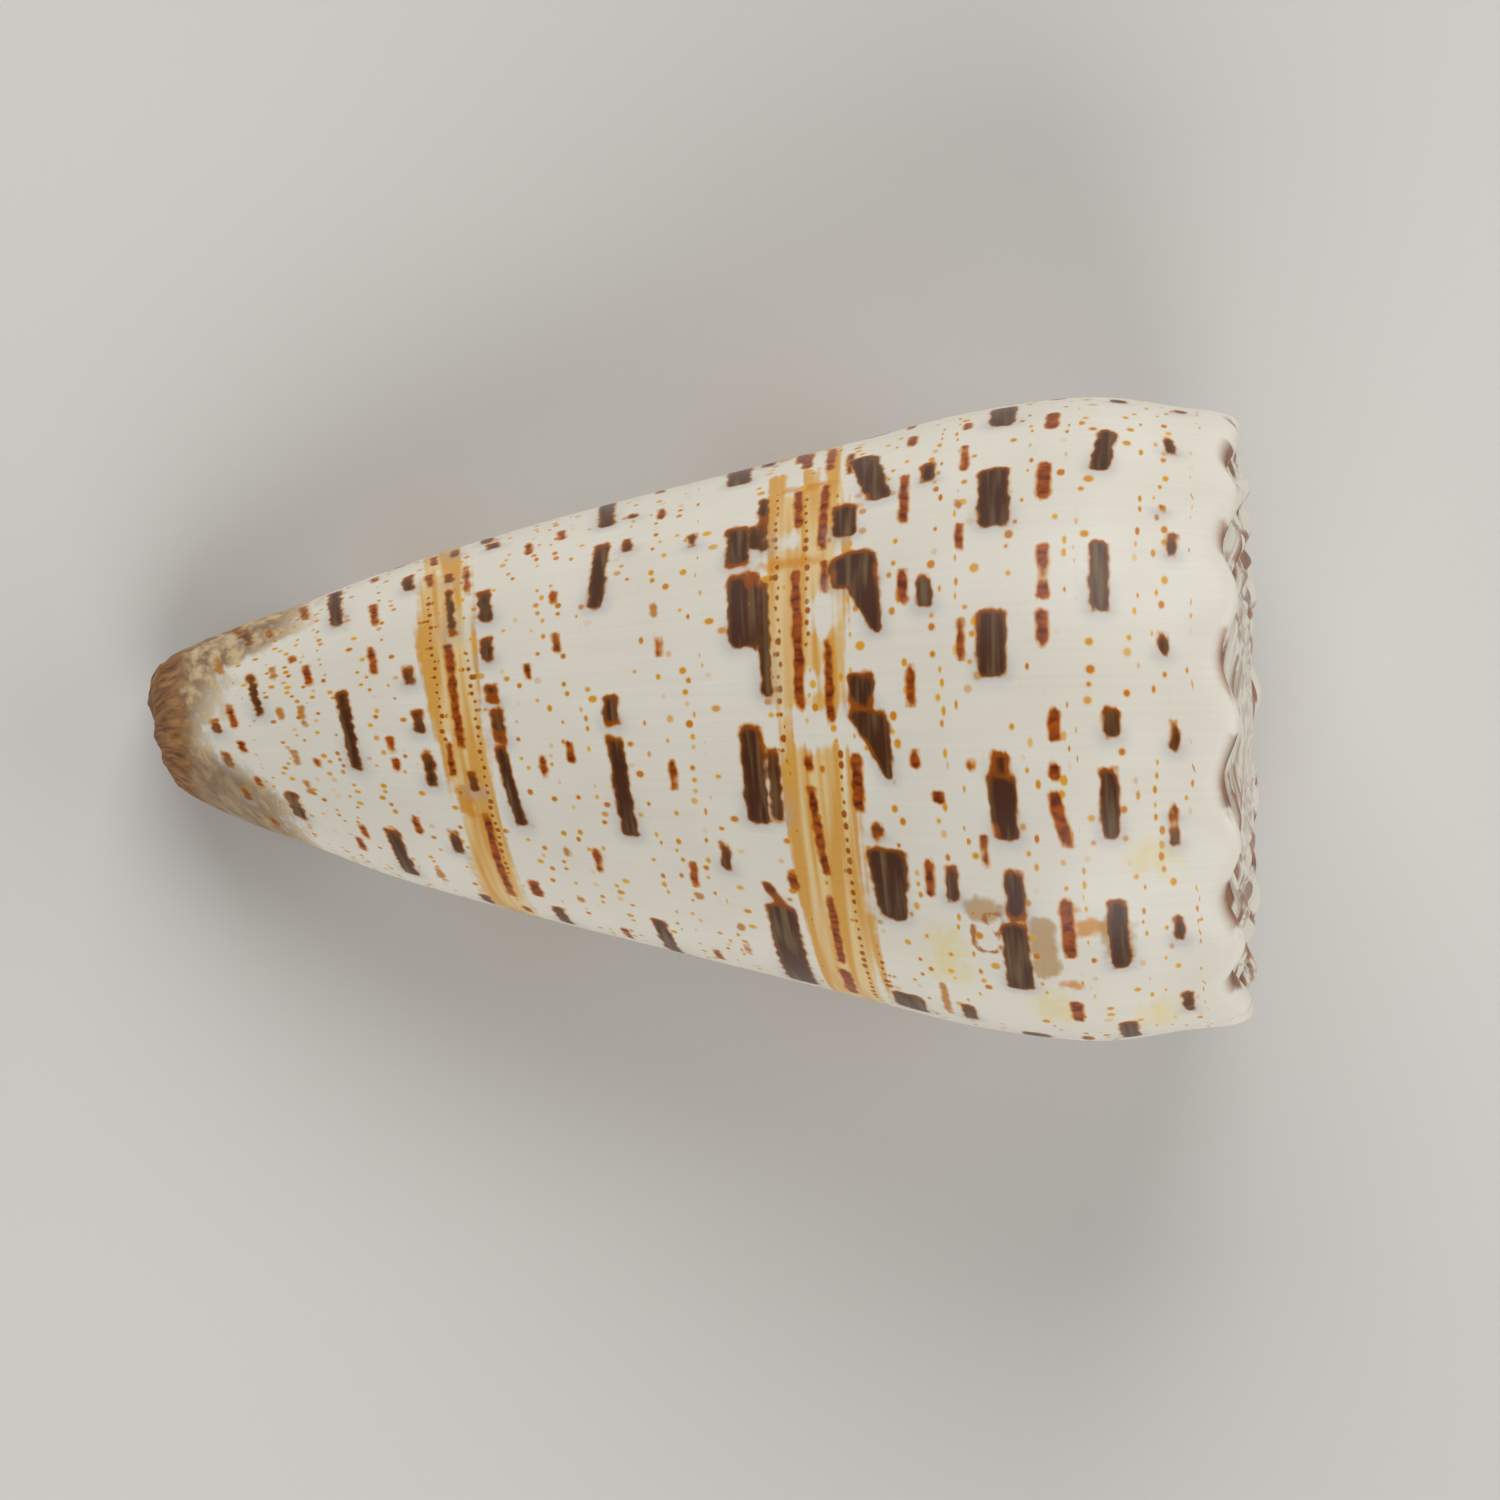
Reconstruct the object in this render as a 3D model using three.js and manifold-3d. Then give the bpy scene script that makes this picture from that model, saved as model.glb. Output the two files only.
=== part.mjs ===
// A cone shell lying on its aperture, modelled the way it grew: one curve, the lip, carried
// round the axis while it grows. Millimetres, degrees, and turns of the spiral; +Z is up and
// the spire points to +X.
import * as THREE from 'three';
import Module from 'manifold-3d';
import { ParametricGeometry } from 'three/addons/geometries/ParametricGeometry.js';
import { mergeGeometries, mergeVertices } from 'three/addons/utils/BufferGeometryUtils.js';

// The spire: its apex, the whorls inside the last one, how much of a whorl's size is left one
// turn earlier, and the knobs on the shoulder.
const APEX_ALONG = 0.6;
const SPIRE_WHORLS = 8;
const WHORL_KEPT = 0.806;
const SHOULDER_RADIUS = 22.0;
const SHOULDER_ALONG = 2.5;
const KNOBS_PER_TURN = 15;
const KNOB_PHASE = 0.4;
const KNOB_HEIGHT = 1.35;
const KNOB_SWELL = 0.25;
const COLUMNS_PER_KNOB = 5;

// The lip, from the suture on the spire to the front tip: radius, distance along the axis, and
// the share of each that is left one turn earlier.
const SUTURE_RADIUS = SHOULDER_RADIUS * WHORL_KEPT;
const SUTURE_ALONG = APEX_ALONG + (SHOULDER_ALONG - APEX_ALONG) * WHORL_KEPT;
const LIP_POINTS = [
  { radius: SUTURE_RADIUS, along: SUTURE_ALONG, keptRadius: WHORL_KEPT, keptAlong: WHORL_KEPT },
  { radius: 19.35, along: 2.3, keptRadius: WHORL_KEPT, keptAlong: WHORL_KEPT },
  { radius: 21.15, along: 2.0, keptRadius: WHORL_KEPT, keptAlong: WHORL_KEPT },
  { radius: SHOULDER_RADIUS, along: SHOULDER_ALONG, keptRadius: WHORL_KEPT, keptAlong: WHORL_KEPT },
  { radius: 22.75, along: 5.8, keptRadius: 0.805, keptAlong: 0.94 },
  { radius: 23.45, along: 11.1, keptRadius: 0.808, keptAlong: 0.97 },
  { radius: 22.55, along: 19.5, keptRadius: 0.795, keptAlong: 0.97 },
  { radius: 20.65, along: 27.6, keptRadius: 0.768, keptAlong: 0.97 },
  { radius: 15.4, along: 49.5, keptRadius: 0.67, keptAlong: 0.97 },
  { radius: 12.05, along: 60.2, keptRadius: 0.62, keptAlong: 0.97 },
  { radius: 9.9, along: 65.7, keptRadius: 0.54, keptAlong: 0.97 },
  { radius: 8.25, along: 70.1, keptRadius: 0.46, keptAlong: 0.965 },
  { radius: 6.45, along: 73.9, keptRadius: 0.38, keptAlong: 0.95 },
  { radius: 4.9, along: 75.6, keptRadius: 0.32, keptAlong: 0.945 },
  { radius: 3.0, along: 76.0, keptRadius: 0.3, keptAlong: 0.945 },
];
const CREST = 2;
const SHOULDER = 3;
const TIP = LIP_POINTS.length - 1;
const TIP_ALONG = 74.3;

// The lip stands this far round from the top of the back, and its front end falls behind.
const LIP_ANGLE = 132.1;
const NOTCH_START = 52;
const NOTCH_LAG = 36;

// The aperture: how far round it is followed in, and the wall left outside it.
const APERTURE_TURN = 0.22;
const CANAL_TURN = 0.1;
const APERTURE_TOP = 3.5;
const CANAL_END = 11.5;
const LIP_WALL = 0.8;
const INNER_WALL = 1.9;
const CLEARANCE = 0.05;

// At rest the axis rises towards the spire, and wear has left small flats where it touches.
const REST_PITCH = 14.66;
const REST_WEAR = 0.18;

const { Manifold, Mesh } = await loadManifold();

async function loadManifold() {
  const wasm = await Module();
  wasm.setup();
  return wasm;
}

const lipShape = new THREE.CatmullRomCurve3(
  LIP_POINTS.map((point) => new THREE.Vector3(point.radius, point.along, 0)),
);
const lipKept = new THREE.CatmullRomCurve3(
  LIP_POINTS.map((point) => new THREE.Vector3(point.keptRadius, point.keptAlong, 0)),
);

// Radius, distance along the axis, and angle from the top of the back of one point of the
// shell: turn is 0 at the lip and -1 a whorl earlier, place counts along LIP_POINTS.
function section(turn, place) {
  const shape = lipShape.getPoint(place / TIP);
  const kept = lipKept.getPoint(place / TIP);
  const knob = knobAt(turn, place);
  const born = THREE.MathUtils.clamp(turn + SPIRE_WHORLS + 1, 0, 1);
  const behind = Math.max(0, (shape.y - NOTCH_START) / (LIP_POINTS[TIP].along - NOTCH_START));
  return {
    radius: born * (shape.x * kept.x ** -turn + KNOB_SWELL * knob),
    along: APEX_ALONG + born * ((shape.y - APEX_ALONG) * kept.y ** -turn - KNOB_HEIGHT * knob),
    angle: 360 * turn + LIP_ANGLE - NOTCH_LAG * behind ** 2,
  };
}

// Rounded knobs follow the crest of the shoulder and shrink with the whorls.
function knobAt(turn, place) {
  const window = Math.max(0, 1 - Math.abs(place - CREST));
  const wave = 0.5 + 0.5 * Math.cos(2 * Math.PI * (KNOBS_PER_TURN * turn + KNOB_PHASE));
  return window * wave * WHORL_KEPT ** -turn;
}

function inSpace({ radius, along, angle }) {
  const turned = THREE.MathUtils.degToRad(angle);
  return new THREE.Vector3(-along, radius * Math.sin(turned), radius * Math.cos(turned));
}

// A sheet of points, rows by columns.
function sheet(rows, columns, pointAt) {
  const place = (u, v, target) => {
    target.copy(pointAt(Math.round(v * rows), Math.round(u * columns)));
  };
  return new ParametricGeometry(place, columns, rows);
}

// Sheets that meet edge to edge become one solid.
function solidFrom(sheets) {
  const joined = mergeGeometries(sheets);
  joined.deleteAttribute('normal');
  joined.deleteAttribute('uv');
  const welded = mergeVertices(joined, 1e-5);
  return new Manifold(new Mesh({
    numProp: 3,
    vertProperties: new Float32Array(welded.attributes.position.array),
    triVerts: new Uint32Array(welded.index.array),
  }));
}

// Rows of the outside, from the apex over every whorl of the spire to the front tip.
function outsideRows() {
  const rows = [];
  for (let whorl = SPIRE_WHORLS; whorl > 0; whorl -= 1) {
    for (let place = 0; place < SHOULDER; place += 1) {
      rows.push({ whorl, place });
    }
  }
  return rows.concat(lastWhorlRows());
}

function lastWhorlRows() {
  const rows = [];
  for (let place = 0; place < SHOULDER; place += 1) {
    rows.push({ whorl: 0, place });
  }
  for (let place = SHOULDER; place <= TIP; place += 0.5) {
    rows.push({ whorl: 0, place });
  }
  return rows;
}

const apex = new THREE.Vector3(-APEX_ALONG, 0, 0);
const frontTip = new THREE.Vector3(-TIP_ALONG, 0, 0);

// The grown body, solid inside, with the step at the lip where the last whorl ends.
function grownBody() {
  const columns = KNOBS_PER_TURN * COLUMNS_PER_KNOB;
  const rows = outsideRows();
  const last = rows.length + 1;
  const outside = sheet(last, columns, (row, column) => {
    if (row === 0) return apex;
    if (row === last) return frontTip;
    const { whorl, place } = rows[row - 1];
    return inSpace(section(column / columns - 1 - whorl, place));
  });
  const lipRows = lastWhorlRows();
  const step = sheet(lipRows.length, 1, (row, column) => {
    if (row === lipRows.length) return frontTip;
    const { place } = lipRows[row];
    return inSpace(column === 0 ? section(0, place) : section(-1, Math.max(place, SHOULDER)));
  });
  return solidFrom([outside, step]);
}

// The hollow of the last whorl, between its wall and the whorl inside it, open at the lip and
// at the front.
function aperture() {
  const columns = 14;
  const places = [];
  for (let place = APERTURE_TOP; place <= CANAL_END; place += 0.5) {
    places.push(place);
  }
  const rows = places.length;
  const corner = (row, column, outer) => {
    const place = places[Math.min(row, rows - 1)];
    const towardsTip = Math.max(0, (place - 8) / (CANAL_END - 8));
    const depth = THREE.MathUtils.lerp(APERTURE_TURN, CANAL_TURN, towardsTip);
    const turn = -depth + (depth + 0.02) * (column / columns);
    const wall = THREE.MathUtils.lerp(LIP_WALL, INNER_WALL, Math.min(1, -turn * 8));
    const at = outer ? section(turn, place) : section(turn - 1, place);
    at.angle = section(turn, place).angle;
    at.radius += outer ? -Math.max(wall, LIP_WALL) : CLEARANCE;
    if (row === rows) at.along = LIP_POINTS[TIP].along + 4;
    return inSpace(at);
  };
  const around = 2 * rows + 2;
  const walls = sheet(around, columns, (row, column) => {
    const step = row % around;
    return step <= rows ? corner(step, column, true) : corner(around - 1 - step, column, false);
  });
  const ends = [0, columns].map((column) => sheet(rows, 1, (row, side) => (
    corner(row, column, (side === 1) === (column === 0))
  )));
  return solidFrom([walls, ...ends]);
}

// The space above the surface it lies on.
function spaceAboveRest() {
  const size = 200;
  const box = new THREE.BoxGeometry(size, size, size);
  box.translate(0, 0, size / 2);
  return solidFrom([box]);
}

function shellGeometry() {
  const hollow = grownBody().subtract(aperture());
  const tilt = hollow.rotate([0, -REST_PITCH, 0]);
  const lowest = tilt.boundingBox().min[2];
  const worn = tilt.translate([0, 0, -lowest - REST_WEAR]).intersect(spaceAboveRest());
  const mesh = worn.getMesh();
  const geometry = new THREE.BufferGeometry();
  geometry.setAttribute('position', new THREE.BufferAttribute(mesh.vertProperties, 3));
  geometry.setIndex(new THREE.BufferAttribute(mesh.triVerts, 1));
  geometry.computeBoundingBox();
  const middle = geometry.boundingBox.getCenter(new THREE.Vector3());
  geometry.translate(-middle.x, -middle.y, 0);
  geometry.computeVertexNormals();
  return geometry;
}

const shellMaterial = new THREE.MeshStandardMaterial({
  color: 0xd8d0c0,
  roughness: 0.3,
  metalness: 0,
});
const shell = new THREE.Mesh(shellGeometry(), shellMaterial);
shell.name = 'shell';

const object = new THREE.Group();
object.name = 'cone_shell';
object.add(shell);

export default object;
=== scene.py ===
# %% [markdown]
# # A cone shell, grown
#
# A sea snail makes its shell at one edge only, the lip. The lip is carried round an axis while
# it grows, and every place it has been is a part of the wall. So the shell needs one curve and
# one rule, and this lesson grows it that way: a sheet that knows how long ago each point was
# made, a Geometry Nodes tree that sends each point to its place, and colours that follow the
# same two directions, along the growth and along the lip.

# %% Open the CAD frame
import math

import bpy
import numpy as np
from mathutils import Matrix, Vector


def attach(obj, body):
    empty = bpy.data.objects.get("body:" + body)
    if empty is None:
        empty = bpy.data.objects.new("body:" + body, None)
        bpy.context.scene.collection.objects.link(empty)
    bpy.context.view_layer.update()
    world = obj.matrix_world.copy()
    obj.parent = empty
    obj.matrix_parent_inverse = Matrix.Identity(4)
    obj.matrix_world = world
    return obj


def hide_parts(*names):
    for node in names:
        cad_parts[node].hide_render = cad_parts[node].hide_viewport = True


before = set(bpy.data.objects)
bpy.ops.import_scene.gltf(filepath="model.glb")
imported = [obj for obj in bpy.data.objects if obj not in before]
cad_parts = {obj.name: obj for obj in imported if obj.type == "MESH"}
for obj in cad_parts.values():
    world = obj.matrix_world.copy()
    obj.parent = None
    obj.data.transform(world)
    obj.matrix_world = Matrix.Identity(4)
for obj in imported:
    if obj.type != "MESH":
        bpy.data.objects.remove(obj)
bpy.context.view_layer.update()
MM = 0.001

# %% [markdown]
# ## Helpers
#
# Colours are written the way a paint program shows them and turned to linear light once. Nodes
# are all added by one small function: it sets the node's properties, links the inputs that are
# given as other nodes or sockets, and fills in the ones that are given as numbers. Growth is mostly
# sums, so a sum has a short form of its own.


# %% Colour and node helpers
def linear(hex_colour):
    parts = [int(hex_colour[i:i + 2], 16) / 255 for i in (1, 3, 5)]
    return [v / 12.92 if v <= 0.04045 else ((v + 0.055) / 1.055) ** 2.4 for v in parts] + [1.0]


def add(tree, kind, inputs=None, **settings):
    node = tree.nodes.new(kind)
    for name, value in settings.items():
        setattr(node, name, value)
    for name, value in (inputs or {}).items():
        if isinstance(value, bpy.types.Node):
            value = value.outputs[0]
        if isinstance(value, bpy.types.NodeSocket):
            tree.links.new(value, node.inputs[name])
        else:
            node.inputs[name].default_value = value
    return node


def maths(tree, operation, *values):
    return add(tree, "ShaderNodeMath", dict(enumerate(values)), operation=operation).outputs[0]


print("red #b03020 is", [round(v, 3) for v in linear("#b03020")])

# %% [markdown]
# ## The lip
#
# The lip is the only drawn shape. It starts at the suture, where it leans on the whorl before
# it, crosses the sloping ramp of the spire, turns over the shoulder and runs down the long side
# to the front tip. Each point has its radius and its distance along the axis, and the share of
# both that is left one turn earlier: all sides of the spire shrink alike, so it coils as one
# spiral, while the long side keeps its length and only draws in. A smooth curve goes through
# the points, and a last straight piece closes the tip at the axis.

# %% The lip's points, in millimetres
APEX = 0.6
WHORL_KEPT = 0.806
SHOULDER = (22.0, 2.5)
SUTURE = (SHOULDER[0] * WHORL_KEPT, APEX + (SHOULDER[1] - APEX) * WHORL_KEPT)
LIP_POINTS = [  # radius, along, radius kept, along kept
    (*SUTURE, WHORL_KEPT, WHORL_KEPT),
    (19.35, 2.3, WHORL_KEPT, WHORL_KEPT),
    (21.15, 2.0, WHORL_KEPT, WHORL_KEPT),
    (*SHOULDER, WHORL_KEPT, WHORL_KEPT),
    (22.75, 5.8, 0.805, 0.94),
    (23.45, 11.1, 0.808, 0.97),
    (22.55, 19.5, 0.795, 0.97),
    (20.65, 27.6, 0.768, 0.97),
    (15.4, 49.5, 0.67, 0.97),
    (12.05, 60.2, 0.62, 0.97),
    (9.9, 65.7, 0.54, 0.97),
    (8.25, 70.1, 0.46, 0.965),
    (6.45, 73.9, 0.38, 0.95),
    (4.9, 75.6, 0.32, 0.945),
    (3.0, 76.0, 0.3, 0.945),
]
TIP_ON_AXIS = (0.0, 74.3, 0.3, 1.0)
SHOULDER_POINT = 3
STEPS = 24


def smooth_through(points, steps):
    """A centripetal Catmull-Rom curve: rounds through the points without overshooting."""
    points = np.array(points, float)
    ends = np.vstack([2 * points[0] - points[1], points, 2 * points[-1] - points[-2]])
    curve = []
    for i in range(1, len(ends) - 2):
        p0, p1, p2, p3 = ends[i - 1:i + 3]
        d0, d1, d2 = (max(np.linalg.norm(b[:2] - a[:2]) ** 0.5, 1e-4)
                      for a, b in ((p0, p1), (p1, p2), (p2, p3)))
        t1 = ((p1 - p0) / d0 - (p2 - p0) / (d0 + d1) + (p2 - p1) / d1) * d1
        t2 = ((p2 - p1) / d1 - (p3 - p1) / (d1 + d2) + (p3 - p2) / d2) * d1
        w = np.linspace(0, 1, steps, endpoint=False)[:, None]
        curve.append(p1 + t1 * w + (-3 * p1 + 3 * p2 - 2 * t1 - t2) * w ** 2
                     + (2 * p1 - 2 * p2 + t1 + t2) * w ** 3)
    return np.vstack(curve + [points[-1:]])


lip = smooth_through(LIP_POINTS, STEPS)
lip = np.vstack([lip, TIP_ON_AXIS])
length = np.r_[0, np.cumsum(np.hypot(*np.diff(lip[:, :2], axis=0).T))]
reach_of = length / length[-1]
SHOULDER_REACH = reach_of[SHOULDER_POINT * STEPS]
print("lip is", round(length[-1], 1), "mm long, shoulder at", round(SHOULDER_REACH, 3))

# %% [markdown]
# The tree will read the lip as a curve, so it becomes a line of edges with what it needs stored
# on its points: the two kept shares, how far a knob may swell there, how far the knobs of the
# whorl before lift it, which makes the suture wavy, and how far the lip's front end lags behind
# the rest, which is what leaves the canal notch in the shell's front.

# %% The lip as an object
KNOB_SPAN = (-3.6, -1.0, 4.2)  # foot, top and foot of a knob, in millimetres past the shoulder
LIFT_END = -2.4
NOTCH_START = 52.0
NOTCH_LAG = 36.0


def ease(value, low, high):
    t = np.clip((value - low) / (high - low), 0, 1)
    return t * t * (3 - 2 * t)


lip_mesh = bpy.data.meshes.new("lip")
lip_mesh.from_pydata([(r, a, 0) for r, a in lip[:, :2]],
                     [(i, i + 1) for i in range(len(lip) - 1)], [])
past_shoulder = length - length[SHOULDER_POINT * STEPS]
foot, top, far_foot = KNOB_SPAN
swell = ease(past_shoulder, foot, top) * ease(past_shoulder, far_foot, top)
lifted = swell[SHOULDER_POINT * STEPS] * ease(past_shoulder, LIFT_END, past_shoulder[0])
notch_length = LIP_POINTS[-1][1] - NOTCH_START
lag = NOTCH_LAG * np.clip((lip[:, 1] - NOTCH_START) / notch_length, 0, None) ** 2
spare = np.zeros(len(lip))
for name, values in (("kept", np.c_[lip[:, 2:], swell]), ("lag", np.c_[lag, lifted, spare])):
    layer = lip_mesh.attributes.new(name, "FLOAT_VECTOR", "POINT")
    layer.data.foreach_set("vector", values.astype(np.float32).ravel())
lip_object = bpy.data.objects.new("lip", lip_mesh)
print("lip line has", len(lip), "points")

# %% [markdown]
# ## The sheet
#
# The sheet is the shell rolled out flat. Every point carries four numbers: turn, how many turns
# ago the lip made it; reach, where on the lip it was; and across and inset, which are only used
# inside the aperture. Across goes from the outer wall, 0, to the whorl inside it, 1, and inset is
# how many millimetres of wall lie over the point.
#
# The outside is a grid of columns, one full turn of them, and of rows that run from the apex over
# each whorl of the spire and down the body. Dashes on the body are half a millimetre wide, and
# their shapes will be stored on the points, so the rows lie closer than that.

# %% Rows and columns of the outside
SPIRE_WHORLS = 8
KNOBS = 15
COLUMNS = KNOBS * 15
RAMP_ROWS = 11
BODY_ROWS = 268
LONG_AGO = 99  # turns: a row this old has shrunk to the apex

ramp = np.linspace(0, SHOULDER_REACH, RAMP_ROWS, endpoint=False)
body = np.linspace(SHOULDER_REACH, 1, BODY_ROWS)
last_whorl = np.r_[ramp, body]
whorl_of_row = np.r_[LONG_AGO, np.repeat(np.arange(SPIRE_WHORLS, 0, -1), RAMP_ROWS),
                     np.zeros(len(last_whorl))]
reach_of_row = np.r_[0, np.tile(ramp, SPIRE_WHORLS), last_whorl]

turn_of_column = np.linspace(-1, 0, COLUMNS + 1)
outside_turn = turn_of_column[None, :] - whorl_of_row[:, None]
outside_reach = np.broadcast_to(reach_of_row[:, None], outside_turn.shape)
nothing = np.zeros_like(outside_turn)
outside = np.stack([outside_turn, outside_reach, nothing, nothing], -1)
print("outside sheet", outside.shape[:2])

# %% [markdown]
# The aperture is a second grid that starts on the lip's edge and ends on the whorl inside it.
# Each row is a hairpin: over the rounded rim, back along the inner face of the wall, across at
# the deep end, and forward again on the older whorl. Near the suture and at the tip the hairpin
# is short, which makes the roof of the aperture and the end of the canal by itself.

# %% The hairpin rows of the aperture
APERTURE_TURN = 0.22
CANAL_TURN = 0.1
LIP_WALL = 0.8
INNER_WALL = 1.9
RIM_BULGE = 0.0011
ROOF = (3.2, 5.2)  # along the axis, where the aperture begins and where it has its full depth
CANAL = (55.0, 73.0)  # and where it turns into the canal
CANAL_CLOSES = 0.985
RIM_POINTS, WALL_POINTS, BACK_POINTS = 5, 13, 5

lip_along = np.interp(last_whorl, reach_of, lip[:, 1])
depth = APERTURE_TURN + (CANAL_TURN - APERTURE_TURN) * ease(lip_along, *CANAL)
depth *= ease(lip_along, *ROOF) * ease(last_whorl, 1, CANAL_CLOSES)
depth[last_whorl < SHOULDER_REACH] = 0
rim = np.linspace(0, 1, RIM_POINTS)
way_in = np.linspace(0, 1, WALL_POINTS)[1:]
way_over = np.linspace(0, 1, BACK_POINTS)[1:]
wall_in = LIP_WALL + (INNER_WALL - LIP_WALL) * ease(way_in, 0, 0.5)
back = np.r_[np.zeros(len(rim)), way_in, np.ones(len(way_over)), 1 - way_in]
across = np.r_[np.zeros(len(rim) + len(way_in)), way_over, np.ones(len(way_in))]
inset = np.r_[rim * LIP_WALL, wall_in, INNER_WALL * (1 - way_over), np.zeros(len(way_in))]
rim_bulge = np.r_[np.sin(rim * math.pi) * RIM_BULGE, np.zeros(len(back) - len(rim))]
hairpin_turn = rim_bulge[None, :] * (depth[:, None] > 0) - depth[:, None] * back[None, :]
spread = [np.broadcast_to(v, hairpin_turn.shape) for v in (across, inset)]
hairpin = np.stack([hairpin_turn, np.broadcast_to(last_whorl[:, None], hairpin_turn.shape),
                    *spread], -1)
print("aperture sheet", hairpin.shape[:2])

# %% [markdown]
# Both grids go into one mesh, each with its own quads. They share no points yet: where they meet,
# the growth rule will send two points to the same place, and they are merged there. A real shell
# has no seam at its lip either.

# %% Join both grids into one sheet mesh
SHEET_NUMBERS = ("turn", "reach", "across", "inset")


def grid_faces(rows, columns, first):
    i, j = np.meshgrid(np.arange(rows - 1), np.arange(columns - 1), indexing="ij")
    a = first + i * columns + j
    return np.stack([a, a + 1, a + columns + 1, a + columns], -1).reshape(-1, 4)


points = np.vstack([outside.reshape(-1, 4), hairpin.reshape(-1, 4)])
faces = np.vstack([grid_faces(*outside.shape[:2], 0),
                   grid_faces(*hairpin.shape[:2], outside.shape[0] * outside.shape[1])])
sheet_mesh = bpy.data.meshes.new("sheet")
sheet_mesh.from_pydata(np.c_[points[:, :2], np.zeros(len(points))].tolist(), [], faces.tolist())
for name, values in zip(SHEET_NUMBERS, points.T):
    layer = sheet_mesh.attributes.new(name, "FLOAT", "POINT")
    layer.data.foreach_set("value", values.astype(np.float32))
shell = bpy.data.objects.new("cone_shell", sheet_mesh)
bpy.context.collection.objects.link(shell)
print("sheet", len(points), "points")

# %% [markdown]
# ## The growth rule
#
# One tree sends every point of the sheet to its place. It looks the point up on the lip, shrinks
# it by its kept shares to the power of its turns, and turns it round the axis. The same is done
# for the whorl inside, one turn earlier, because the aperture lies between the two. Last, the shell
# is pitched up at the spire, as it lies on its aperture.

# %% What the growth tree is given
grow = bpy.data.node_groups.new("grow shell", "GeometryNodeTree")
SIZES = {"Lip angle": 132.1, "Apex": APEX, "Whorls": SPIRE_WHORLS, "Knobs per turn": KNOBS,
         "Knob phase": 0.4, "Knob height": 1.35, "Knob swell": 0.2, "Whorl kept": WHORL_KEPT,
         "Chip depth": 1.0, "Shoulder reach": float(SHOULDER_REACH), "Rest pitch": 14.66}
kinds = {"Sheet": "Geometry", "Lip": "Object", "Finish": "Material", **dict.fromkeys(SIZES, "Float")}
sockets = {name: grow.interface.new_socket(name, in_out="INPUT", socket_type="NodeSocket" + kind)
           for name, kind in kinds.items()}
grow.interface.new_socket("Shell", in_out="OUTPUT", socket_type="NodeSocketGeometry")
given = add(grow, "NodeGroupInput").outputs
print("the tree is given", len(sockets), "things")

# %% [markdown]
# The tree reads each point's four numbers, and turns the lip's line into a curve on which any
# place can be looked up. The ramp of the whorl inside lies further in, on the spire, so a point of
# the ramp is paired with that whorl's shoulder. Before the first whorl there was no shell: born is
# 0 there, and draws the sheet's first row together in the apex.


# %% Read the sheet and the lip
def named(name, data_type):
    return add(grow, "GeometryNodeInputNamedAttribute", {"Name": name}, data_type=data_type).outputs[0]


def on_lip(where, value):
    return add(grow, "GeometryNodeSampleCurve", {"Curves": lip_line, "Value": value, "Factor": where},
               data_type="FLOAT_VECTOR", mode="FACTOR", use_all_curves=True).outputs


def parts(vector):
    return add(grow, "ShaderNodeSeparateXYZ", {0: vector}).outputs


turn, reach, across_share, wall_depth = (named(name, "FLOAT") for name in SHEET_NUMBERS)
kept_at, lag_at = (named(name, "FLOAT_VECTOR") for name in ("kept", "lag"))
lip_shape = add(grow, "GeometryNodeObjectInfo", {"Object": given["Lip"]}).outputs["Geometry"]
lip_line = add(grow, "GeometryNodeMeshToCurve", {"Mesh": lip_shape})
older_turn = maths(grow, "SUBTRACT", turn, 1.0)
older_reach = maths(grow, "MAXIMUM", reach, given["Shoulder reach"])
since_first = maths(grow, "ADD", turn, given["Whorls"])
born = add(grow, "ShaderNodeMath", {0: since_first, 1: 1.0}, operation="ADD", use_clamp=True)
print("inputs take", len(grow.nodes), "nodes")

# %% [markdown]
# Now each point is looked up twice, on its own whorl and on the one inside. What the lip has there
# is shrunk by as many turns as have passed since.

# %% Look each point up on the lip
WHORLS = {"here": (turn, reach), "inside": (older_turn, older_reach)}
placed = {}
for whorl, (when, where) in WHORLS.items():
    sample = on_lip(where, kept_at)
    drawn, kept = parts(sample["Position"]), parts(sample["Value"])
    ago = maths(grow, "MULTIPLY", when, -1.0)
    narrowed = maths(grow, "POWER", kept[0], ago)
    shortened = maths(grow, "POWER", kept[1], ago)
    below_apex = maths(grow, "SUBTRACT", drawn[1], given["Apex"])
    placed[whorl] = {"ago": ago, "swell": kept[2],
                     "radius": maths(grow, "MULTIPLY", drawn[0], narrowed),
                     "below": maths(grow, "MULTIPLY", below_apex, shortened)}
lag_here, lift_here = parts(on_lip(reach, lag_at)["Value"])[:2]
print("growth rule so far", len(grow.nodes), "nodes")

# %% [markdown]
# Knobs stand on the shoulder in a wave that fits a whole number into a turn. No two are quite
# alike: each has its own height, they fade on the older whorls, and the last few before the lip are
# low, as a grown-up snail makes them.

# %% How high a knob stands
KNOB_LUCK = (0.85, 1.15)
KNOBS_FADE = 2.0
LAST_KNOBS = (-0.26, -0.02)  # turns
LAST_KNOB_HEIGHT = 0.35

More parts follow.
